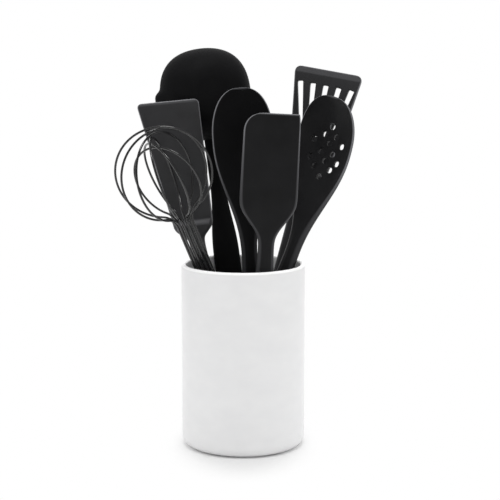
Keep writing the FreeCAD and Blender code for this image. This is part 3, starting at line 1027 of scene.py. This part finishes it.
@dataclass
class Turner(Blade):
    """Turner: a thin blade that steps down at a heel, with a bevelled, slanted leading edge."""

    slant_angle: float = -6.0
    heel_length: float = 0.006
    heel_steps: int = 3
    heel_thickness: float = 0.0076
    edge_thickness: float = 0.0024
    bevel_length: float = 0.003
    bend: float = 0.004

    def sections_at(self, along: Array) -> Sections:
        """Sections of the turner: the blade widens and thins evenly, and bends forward.

        The heel and the bevel take their steps from the front, so that the back stays flush.

        Args:
            along: Places along the turner.

        Returns:
            One section per place.
        """
        head_share = self.head_share(along)
        heel_share = (along - self.root) / self.heel_length
        heel_step = blend(0.0, self.heel_thickness - self.root_thickness, heel_share)
        taper = (self.root_thickness - self.edge_thickness) * head_share
        bevel_share = np.maximum(1 - (self.length - along) / self.bevel_length, 0.0)
        bevel_step = (self.edge_thickness - self.lip_thickness) * bevel_share
        thickness = self.stem_thickness(along, self.heel_thickness) - heel_step - taper - bevel_step
        crown = self.grip_crown * (1 - np.clip((along - self.neck) / self.shoulder_length, 0.0, 1.0))
        reach = np.maximum(along - self.neck, 0.0) / (self.length - self.neck)
        lift = (heel_step + bevel_step) / 2 - self.bend * reach**2
        half_width = self.half_width(along)
        return Sections(along, half_width, half_width, thickness, crown, crown, lift,
                        self.slope * head_share)

    def rim(self, grid: Array) -> Array:
        """Shares of painted highlight, with the heel's ramp and the bevel added.

        On the front, the ramp's share is h sin(pi t) while t runs over the heel, and the bevel's
        is b over the bevel's length, where h and b are the shares named for them.

        Args:
            grid: Surface of the turner in its own frame.

        Returns:
            Array of rows by columns.
        """
        along = self.unslanted(grid[:, :FACE_COLUMNS])
        climb = np.clip((along - self.root) / self.heel_length, 0.0, 1.0)
        bevel = blend(0.0, BEVEL_HIGHLIGHT_SHARE, (along - self.length + self.bevel_length) / TIP_HIGHLIGHT_WIDTH)
        # Painted highlights on the heel's ramp and on the bevel.
        front = np.maximum(HEEL_HIGHLIGHT_SHARE * np.sin(np.pi * climb), bevel)
        shares = super().rim(grid)
        shares[:, :FACE_COLUMNS] = np.maximum(shares[:, :FACE_COLUMNS], front)
        return shares


@dataclass
class SlottedTurner(Turner):
    """Turner with a fan of tapered slots through a bent blade."""

    slot_margin: float = 0.0142
    slot_length: float = 0.048
    slot_tip_width: float = 0.0052
    slot_root_width: float = 0.003
    slot_tip_pitch: float = 0.0126
    slot_root_pitch: float = 0.0072
    slot_count: int = 5
    slot_round: float = 0.0006
    slot_squareness: float = 0.36

    def slot_outline(self, place: float) -> tuple[Array, Array, Array]:
        """Outline of one slot: square ends with round corners, joined by straight sides.

        An end is the curve |cos a|^e, |sin a|^e with e far below 1, about a centre half the slot's
        width inside it. Along the sides, the centre and the half width change evenly.

        Args:
            place: Number of the slot counted from the middle one.

        Returns:
            Centres across and along the blade, directions away from them, and half widths.
        """
        tip_along = self.length - self.slot_margin
        tip = np.array([place * self.slot_tip_pitch, tip_along])
        root = np.array([place * self.slot_root_pitch, tip_along - self.slot_length])
        run = (tip - root) / np.linalg.norm(tip - root)
        side = np.array([run[1], -run[0]])
        angle = np.linspace(0, np.pi, PIN_SIDES // 2)
        across = np.sign(np.cos(angle)) * np.abs(np.cos(angle)) ** self.slot_squareness
        forward = np.abs(np.sin(angle)) ** self.slot_squareness
        end = across[:, None] * side + forward[:, None] * run
        share = np.linspace(0, 1, SLOT_SIDE_POINTS + 2)[1:-1, None]
        tip_half, root_half = self.slot_tip_width / 2, self.slot_root_width / 2
        tip_end, root_end = (tip - run * tip_half, tip_half), (root + run * root_half, root_half)
        centres, turns, halves = [], [], []
        for way, (here, half), (there, next_half) in ((1, tip_end, root_end), (-1, root_end, tip_end)):
            centres += [np.tile(here, (len(end), 1)), here + (there - here) * share]
            turns += [way * end, np.tile(-way * side, (len(share), 1))]
            halves += [np.full(len(end), half), half + (next_half - half) * share[:, 0]]
        return np.concatenate(centres), np.concatenate(turns), np.concatenate(halves)

    def slot_cutter(self, place: float) -> Array:
        """Grid of one slot's cutter: the slot's outline carried through the blade.

        Through the blade the outline grows by a quarter circle towards both faces, so that the
        slots have round edges.

        Args:
            place: Number of the slot counted from the middle one.

        Returns:
            Array of rows by columns by three.
        """
        centre, turn, half = self.slot_outline(place)
        blade = self.sections_at(centre[:, 1])
        offset, extra = flared_profile(1.0, self.slot_round / self.edge_thickness)
        outline = centre + turn * (half + extra[:, None] * self.edge_thickness)[..., None]
        through = blade.lift + offset[:, None] * blade.thickness / 2
        return np.stack([outline[..., 0], through, outline[..., 1]], axis=-1)

    def finished_mesh(self, stance: Stance) -> bpy.types.Mesh:
        """Mesh of the turner with its slots cut.

        Args:
            stance: Where the turner stands.

        Returns:
            The finished mesh.
        """
        order = np.arange(self.slot_count) - (self.slot_count - 1) / 2
        cutters = [stance.place(self.slot_cutter(place)) for place in order]
        return worked(self.placed_mesh(stance), closed_mesh("slots", cutters), Joining.CUT)


@dataclass
class Spatula(Blade):
    """Spatula: a scraper head with one large round corner and one square corner."""

    head_length: float = 0.078
    root_width: float = 0.053
    tip_width: float = 0.0505
    shoulder_length: float = 0.038
    left_round: float = 0.019
    right_round: float = 0.0015
    root_thickness: float = 0.007
    lip_thickness: float = 0.0026
    shoulder_steps: int = 6
    head_steps: int = 4

    def sections_at(self, along: Array) -> Sections:
        """Sections of the spatula: a round shoulder, then a head that thins to its edge.

        Args:
            along: Places along the spatula.

        Returns:
            One section per place.
        """
        head_share = self.head_share(along)
        thickness = self.stem_thickness(along, self.root_thickness)
        thickness = thickness + (self.lip_thickness - self.root_thickness) * head_share
        half_width = self.half_width(along)
        crown = self.grip_crown * (1 - head_share)
        level = np.zeros_like(along)
        return Sections(along, half_width, half_width, thickness, crown, crown, level, level)


@dataclass
class Ladle(MouldedTool):
    """Ladle: a deep squarish bowl with a pouring lip, its back towards the viewer."""

    bowl_width: float = 0.086
    bowl_depth: float = 0.038
    bowl_wall: float = 0.003
    bowl_floor_width: float = 0.030
    squareness_share: float = 0.66
    spout_reach: float = 0.005
    spout_half_width: float = 0.0075
    spout_depth: float = 0.020
    neck_length: float = 0.062
    neck_thickness: float = 0.007
    bowl_rows: int = 40
    quarter_columns: int = 40

    def sections_at(self, along: Array) -> Sections:
        """Sections of the ladle's handle.

        Args:
            along: Places along the ladle.

        Returns:
            One section per place.
        """
        share = (along - self.grip_length) / self.neck_length
        half_width = self.handle_half_width(along, self.grip_length + self.neck_length)
        thickness = blend(self.grip_thickness, self.neck_thickness, share)
        crown = np.full(len(along), self.grip_crown)
        lift = np.full(len(along), self.handle_lift)
        return Sections(along, half_width, half_width, thickness, crown, crown, lift, np.zeros_like(along))

    def head_stations(self) -> Array:
        """Places of the sections from the grip to the end of the neck."""
        return self.handle_stations(self.grip_length + self.neck_length)

    def end_sections(self) -> Sections:
        """The straight stem, which ends inside the wall of the bowl.

        The last control row but one lies a third of a row pitch before the end, as in a cubic spline
        of even spans.

        Returns:
            Sections from the neck to the wall.
        """
        end = self.length - self.bowl_width + self.bowl_wall
        stem = stepped(self.grip_length + self.neck_length, end)
        return self.sections_at(np.concatenate([stem[:-1], [end - HANDLE_ROW_PITCH / CUBIC, end]]))

    def bowl_side(self, radius: float, depth: float, floor_radius: float) -> Array:
        """Side of a bowl from its floor to its rim, along a cubic Bezier curve.

        Args:
            radius: Radius at the rim.
            depth: Depth of the floor under the rim.
            floor_radius: Radius at which the floor is level.

        Returns:
            Array of points by two, radius and depth.
        """
        pull = 1 - ROUND_PULL_SHARE
        poles = np.array([[1.0, 0.0], [1.0, pull], [pull, 1.0], [0.0, 1.0]])
        shares = bernstein(CUBIC + 1, np.linspace(1, 0, self.bowl_rows)) @ poles
        return shares * [radius - floor_radius, depth] + [floor_radius, 0.0]

    def bowl_profile(self) -> Array:
        """Half section of the bowl: inside floor to rim, round rim, then outside rim to floor.

        Returns:
            Array of points by two, radius and depth.
        """
        radius, wall, half = self.bowl_width / 2, self.bowl_wall, self.bowl_wall / 2
        floor_radius = self.bowl_floor_width / 2
        inside = self.bowl_side(radius - wall, self.bowl_depth - wall, floor_radius - wall)
        outside = self.bowl_side(radius, self.bowl_depth, floor_radius)[::-1]
        return np.concatenate([
            [[floor_radius * END_SHARE, self.bowl_depth - wall]],
            inside[inside[:, 1] > half],
            fillet(radius - half, half, half, -2, 0),
            outside[outside[:, 1] > half],
            [[floor_radius * END_SHARE, self.bowl_depth]],
        ])

    def bowl_ring(self) -> Array:
        """Ring of the bowl: a rounded square of four cubic curves, of radius 1.

        Returns:
            Array of points by two.
        """
        corners = np.array([[1, 0], [0, 1], [-1, 0], [0, -1]], dtype=float)
        follow = np.roll(corners, -1, axis=0)
        pull = self.squareness_share
        poles = np.stack([corners, corners + follow * pull, follow + corners * pull, follow], axis=1)
        weights = bernstein(CUBIC + 1, np.linspace(0, 1, self.quarter_columns, endpoint=False))
        return np.einsum("tk,qkc->qtc", weights, poles).reshape(-1, 2)

    def bowl(self) -> Array:
        """Grid over the bowl: its ring, scaled by the radius of its profile.

        At the left, a lip of reach exp(-(z / w)^4) stands out and fades towards the floor.

        Returns:
            Array of rows by columns by three.
        """
        profile, ring = self.bowl_profile(), self.bowl_ring()
        flat = profile[:, None, :1] * ring
        depth = np.repeat(profile[:, 1:], len(ring), axis=1)
        at_left = flat[..., 0] < -self.bowl_floor_width / 2
        lip = np.exp(-((flat[..., 1] / self.spout_half_width) ** 4)) * at_left
        fade = blend(1.0, 0.0, depth / self.spout_depth)
        across = flat[..., 0] - self.spout_reach * lip * fade
        along = self.length - self.bowl_width / 2 + flat[..., 1]
        return np.stack([across, -depth, along], axis=-1)

    def finished_mesh(self, stance: Stance) -> bpy.types.Mesh:
        """Mesh of the ladle: its handle is welded into the wall of the bowl, then its rim gets a painted
        highlight.

        The share of painted highlight is 1 at the bowl's rim and falls evenly to 0 at a wall's thickness
        below it.

        Args:
            stance: Where the ladle stands.

        Returns:
            The finished mesh.
        """
        bowl = closed_mesh(self.name, [stance.place(self.bowl())])
        mesh = worked(bowl, self.placed_mesh(stance), Joining.WELD)
        points = stance.own(mesh)
        on_bowl = points[:, 2] > self.length - self.bowl_width
        # Painted highlight along the bowl's rim.
        shares = np.clip(1 + points[:, 1] / self.bowl_wall, 0.0, 1.0) * on_bowl
        mesh.attributes[PAINTED_HIGHLIGHT].data.foreach_set("value", shares)
        return mesh


@dataclass
class Whisk:
    """Whisk: a round grip and nested wire loops that make a balloon."""

    grip_radius: float = 0.0108
    grip_length: float = 0.138
    grip_round_share: float = 0.45
    grip_rows: int = 30
    top_round: float = 0.0008
    collar_height: float = 0.003
    seat_depth: float = 0.026
    core_radius: float = 0.0094
    wire_radius: float = 0.001
    ring_radius: float = 0.0076
    leg_length: float = 0.106
    bend_radius: float = 0.014
    loop_radius: float = 0.043
    loop_step: float = 0.0017
    loop_count: int = 6
    wire_sides: int = 14
    arc_points: int = 60

    def loop_path(self, index: int) -> tuple[Array, Array]:
        """Distance from the axis and height along one loop, from one seat over the top to the other.

        A straight leg, an arc that bends outwards about a point beside the leg, then the balloon's
        arc up to the top, and the same mirrored.

        Args:
            index: Number of the loop, the largest first.

        Returns:
            Distances across and heights.
        """
        radius = self.loop_radius - index * self.loop_step
        seat = self.grip_length + self.collar_height - self.seat_depth
        bend_height = seat + self.leg_length
        bend_across = self.ring_radius + self.bend_radius
        rise = math.sqrt((self.bend_radius + radius) ** 2 - bend_across**2)
        bend_angle = math.atan2(rise, bend_across)
        leg = np.linspace(seat, bend_height, self.arc_points, endpoint=False)
        bend = np.linspace(0, bend_angle, self.arc_points // 2, endpoint=False)
        balloon = np.linspace(-bend_angle, np.pi / 2, 2 * self.arc_points)
        across = np.concatenate([np.full(len(leg), self.ring_radius),
                                 bend_across - self.bend_radius * np.cos(bend),
                                 radius * np.cos(balloon)])
        height = np.concatenate([leg, bend_height + self.bend_radius * np.sin(bend),
                                 bend_height + rise + radius * np.sin(balloon)])
        return np.concatenate([across, -across[-2::-1]]), np.concatenate([height, height[-2::-1]])

    def wire(self, index: int) -> Array:
        """Grid of one wire: a circle carried along the loop's path, which lies in one plane.

        Args:
            index: Number of the loop, the largest first.

        Returns:
            Array of rows by columns by three.
        """
        across, height = self.loop_path(index)
        turn = math.pi * index / self.loop_count
        outward = np.array([math.cos(turn), math.sin(turn), 0.0])
        beside = np.array([-math.sin(turn), math.cos(turn), 0.0])
        path = across[:, None] * outward + height[:, None] * np.array([0.0, 0.0, 1.0])
        run = np.gradient(path, axis=0)
        run /= np.linalg.norm(run, axis=1, keepdims=True)
        normal = np.cross(run, beside)
        angle = np.linspace(0, 2 * np.pi, self.wire_sides, endpoint=False)[:, None]
        ring = np.cos(angle) * normal[:, None] + np.sin(angle) * beside
        return path[:, None] + self.wire_radius * ring

    def grip(self) -> Array:
        """Grid of the grip: a revolved profile with a round end, open round the wire holder.

        Returns:
            Array of rows by columns by three.
        """
        butt, top = self.grip_radius * self.grip_round_share, self.top_round
        side = np.linspace(butt, self.grip_length - top, self.grip_rows)[1:-1, None]
        profile = np.concatenate([
            [[butt * END_SHARE, 0.0]],
            fillet(self.grip_radius - butt, butt, butt, -1, 0),
            side * [0, 1] + [self.grip_radius, 0],
            fillet(self.grip_radius - top, self.grip_length - top, top, 0, 1),
            [[self.core_radius, self.grip_length]],
        ])
        return revolved(profile[:, 0], profile[:, 1])

    def build(self, frame: dict, silicone: bpy.types.Material, wire: bpy.types.Material) -> None:
        """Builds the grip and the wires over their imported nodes.

        Args:
            silicone: Finish of the grip.
            wire: Finish of the wires.
        """
        stance = Stance.of(frame, "whisk", "whisk_grip", 0.0, self.grip_length, 0.0)
        mesh = closed_mesh("whisk_handle", [stance.place(self.grip())])
        add_piece(mesh, "whisk", ["whisk_grip"], silicone)
        for index in range(self.loop_count):
            mesh = closed_mesh("whisk_loop_" + str(index + 1), [stance.place(self.wire(index))])
            add_piece(mesh, "whisk", ["whisk_wire_" + str(index + 1)], wire)


@dataclass
class Crock:
    """Crock: straight wall, rounded lip, rounded foot and flat base."""

    radius: float = 0.05715
    height: float = 0.170
    wall: float = 0.0045
    floor: float = 0.007
    foot_round: float = 0.008
    well_round: float = 0.006
    lip_round_share: float = 0.45
    wall_rows: int = 60

    def profile(self) -> Array:
        """Half section from the middle of the base over the lip to the middle of the well.

        Returns:
            Array of points by two, radius and height.
        """
        lip = self.wall * self.lip_round_share
        inner = self.radius - self.wall
        side = np.linspace(self.foot_round, self.height - lip, self.wall_rows)[1:-1, None]
        well = np.linspace(self.height - lip, self.floor + self.well_round, self.wall_rows)[1:-1, None]
        return np.concatenate([
            [[self.radius * END_SHARE, 0.0]],
            fillet(self.radius - self.foot_round, self.foot_round, self.foot_round, -1, 0),
            side * [0, 1] + [self.radius, 0],
            fillet(self.radius - lip, self.height - lip, lip, 0, 1),
            fillet(inner + lip, self.height - lip, lip, 1, 2),
            well * [0, 1] + [inner, 0],
            fillet(inner - self.well_round, self.floor + self.well_round, self.well_round, 0, -1),
            [[self.radius * END_SHARE, self.floor]],
        ])

    def build(self, material: bpy.types.Material) -> None:
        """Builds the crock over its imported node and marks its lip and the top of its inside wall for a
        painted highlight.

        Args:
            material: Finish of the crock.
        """
        profile = self.profile()
        grid = revolved(profile[:, 0], profile[:, 1])
        # The painted highlight covers the lip's round outside and reaches a wall's thickness down the
        # inside wall.
        inside = np.hypot(grid[..., 0], grid[..., 1]) < self.radius - self.wall / 2
        depth = np.where(inside, self.wall, self.wall * self.lip_round_share)
        lip = (grid[..., 2] > self.height - depth).astype(float)
        mesh = closed_mesh("glazed_crock", [grid], [lip])
        add_piece(mesh, "crock", ["crock"], material)


@dataclass(frozen=True)
class Lamp:
    """A square soft panel; its size is in metres, its power in watts."""

    name: str
    place: Triple
    size: float
    power: float
    mirrored: bool = False


@dataclass
class Studio:
    """Pale floor, white surroundings, soft lamps and the camera."""

    floor_size: float = 12.0
    floor_tone: tuple[float, ...] = (0.74, 0.74, 0.74, 1.0)
    shadow_reach: float = 0.036
    white_reach: float = 0.078
    shadow_stretch: Triple = (1.0, 0.60, 1.0)
    world_tone: tuple[float, ...] = (1.0, 1.0, 1.0, 1.0)
    world_fill: float = 0.79
    front_shine: float = 0.40
    back_shine: float = 1.3
    shine_turn: tuple[float, float] = (0.3, 1.0)
    camera_place: Triple = (0.0063, -1.26657, 0.37754)
    camera_pitch: float = 81.23
    camera_lens: float = 100.0
    camera_sensor: float = 36.0
    aim: Triple = (0.0, 0.0, 0.2)
    lamps: tuple[Lamp, ...] = (
        Lamp("left_panel", (-1.1, -0.10, 0.45), 0.9, 0.6),
        Lamp("right_panel", (1.1, -0.05, 0.45), 0.9, 0.8),
        Lamp("back_panel", (0.0, 0.9, 1.5), 1.3, 16.0),
        Lamp("top_panel", (0.0, -0.30, 1.6), 0.5, 8.0, mirrored=True),
    )

    def floor_material(self) -> bpy.types.Material:
        """Pale floor that keeps the shadow near the object.

        Further out it turns white for the camera, by a smooth step over the length of the place's
        coordinates, each times its stretch.

        Returns:
            The material.
        """
        tree = NodeTree(bpy.data.materials.new("pale_floor"))
        place = tree.stretched(self.shadow_stretch)
        reach = tree.add("VectorMath", "Value", operation="LENGTH", Vector=place)
        fade = tree.add("MapRange", "Result", interpolation_type="SMOOTHSTEP", Value=reach,
                        From_Min=self.shadow_reach, From_Max=self.white_reach,
                        To_Max=tree.add("LightPath", "Is Camera Ray"))
        diffuse = tree.add("BsdfDiffuse", "BSDF", Color=self.floor_tone)
        white = tree.add("Emission", "Emission")
        mix = tree.nodes.new("ShaderNodeMixShader")
        for target, source in zip(mix.inputs, (fade, diffuse, white)):
            tree.links.new(source, target)
        tree.nodes.remove(tree.nodes["Principled BSDF"])
        tree.give(tree.nodes["Material Output"], Surface=mix.outputs["Shader"])
        return tree.owner

    def floor(self) -> None:
        """Lays the floor, a plain square sheet."""
        half = self.floor_size / 2
        mesh = bpy.data.meshes.new("floor")
        corners = [(-half, -half, 0), (half, -half, 0), (half, half, 0), (-half, half, 0)]
        mesh.from_pydata(corners, [], [(0, 1, 2, 3)])
        mesh.materials.append(self.floor_material())
        floor = into_scene("floor", mesh)

    def world(self) -> None:
        """White surroundings for the camera, an even fill, and reflections that are bright behind."""
        tree = NodeTree(bpy.data.worlds.new("studio"))
        bpy.context.scene.world = tree.owner
        depth = tree.add("SeparateXYZ", "Y", Vector=tree.add("TexCoord", "Generated"))
        shine = tree.add("MapRange", "Result", interpolation_type="SMOOTHSTEP", Value=depth,
                         From_Min=self.shine_turn[0], From_Max=self.shine_turn[1],
                         To_Min=self.front_shine, To_Max=self.back_shine)
        strength = self.world_fill
        levels = {"Is Glossy Ray": shine, "Is Camera Ray": 1.0, "Is Transmission Ray": 1.0}
        for ray, level in levels.items():
            strength = tree.add("MapRange", "Result", Value=tree.add("LightPath", ray),
                                To_Min=strength, To_Max=level)
        tree.give(tree.nodes["Background"], Color=self.world_tone, Strength=strength)

    def light(self) -> None:
        """Hangs the soft panels, each turned towards the middle of the object."""
        for lamp in self.lamps:
            light = bpy.data.lights.new(lamp.name, "AREA")
            light.size = lamp.size
            light.energy = lamp.power
            panel = into_scene(lamp.name, light)
            panel.visible_glossy = lamp.mirrored
            panel.location = lamp.place
            away = np.array(lamp.place) - np.array(self.aim)
            panel.rotation_euler = (math.atan2(math.hypot(away[0], away[1]), away[2]), 0.0,
                                    math.atan2(away[0], -away[1]))

    def camera(self) -> None:
        """Sets the camera up as the photograph saw the object."""
        data = bpy.data.cameras.new("camera")
        data.lens = self.camera_lens
        data.sensor_width = self.camera_sensor
        camera = into_scene("camera", data)
        camera.location = self.camera_place
        camera.rotation_euler = (math.radians(self.camera_pitch), 0.0, 0.0)
        bpy.context.scene.camera = camera

    def build(self) -> None:
        """Sets up everything round the object."""
        bpy.context.scene.view_settings.view_transform = "Standard"
        self.floor()
        self.world()
        self.light()
        self.camera()


def main() -> None:
    logging.basicConfig(level=logging.INFO, format="%(name)s: %(message)s")
    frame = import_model()
    # One silicone in lit and shaded copies: painted shade on the ladle and solid spoon, painted light on
    # the turners and a little on the slotted spoon.
    silicone = MatteSilicone("matte_black_silicone", tone=0.012, shine=0.12).material()
    faint_lit_silicone = MatteSilicone("dry_black_silicone", tone=0.017, shine=0.12).material()
    strong_lit_silicone = MatteSilicone("pale_black_silicone", tone=0.032).material()
    shaded_silicone = MatteSilicone("deep_black_silicone", tone=0.009, smooth=0.5, rough=0.6,
                                  shine=0.02).material()
    nylon = BlackNylon().material()
    for name, node in frame["nodes"].items():
        if name.endswith("_core"):
            node.data.materials.clear()
            node.data.materials.append(nylon)
    Crock().build(SatinGlaze().material())
    ladle = Ladle("ladle", turn=14.0, length=0.361, grip_width=0.0256, grip_length=0.168,
                  handle_lift=-0.0044)
    slotted_spoon = SlottedSpoon("slotted_spoon", turn=-34.0, length=0.331, width=0.061,
                                 tip_length=0.043, bend=0.027)
    slotted_turner = SlottedTurner("slotted_turner", turn=-14.2, length=0.3532, grip_width=0.016,
                                   head_length=0.100, tip_width=0.067, root_width=0.038,
                                   shoulder_length=0.024, left_round=0.008, right_round=0.008,
                                   root_thickness=0.0044, edge_thickness=0.0028, lip_thickness=0.001,
                                   bevel_length=0.0065, bend=0.016, slant_angle=1.0)
    tools = [
        (ladle, shaded_silicone),
        (Turner("turner", turn=3.4, length=0.3185), strong_lit_silicone),
        (Spoon("solid_spoon", turn=5.2, length=0.325), shaded_silicone),
        (Spatula("spatula", turn=6.8, length=0.303), silicone),
        (slotted_spoon, faint_lit_silicone),
        (slotted_turner, strong_lit_silicone),
    ]
    for tool, finish in tools:
        tool.build(frame, finish)
    Whisk().build(frame, silicone, CoatedWire().material())
    Studio().build()


if __name__ == "__main__":
    main()
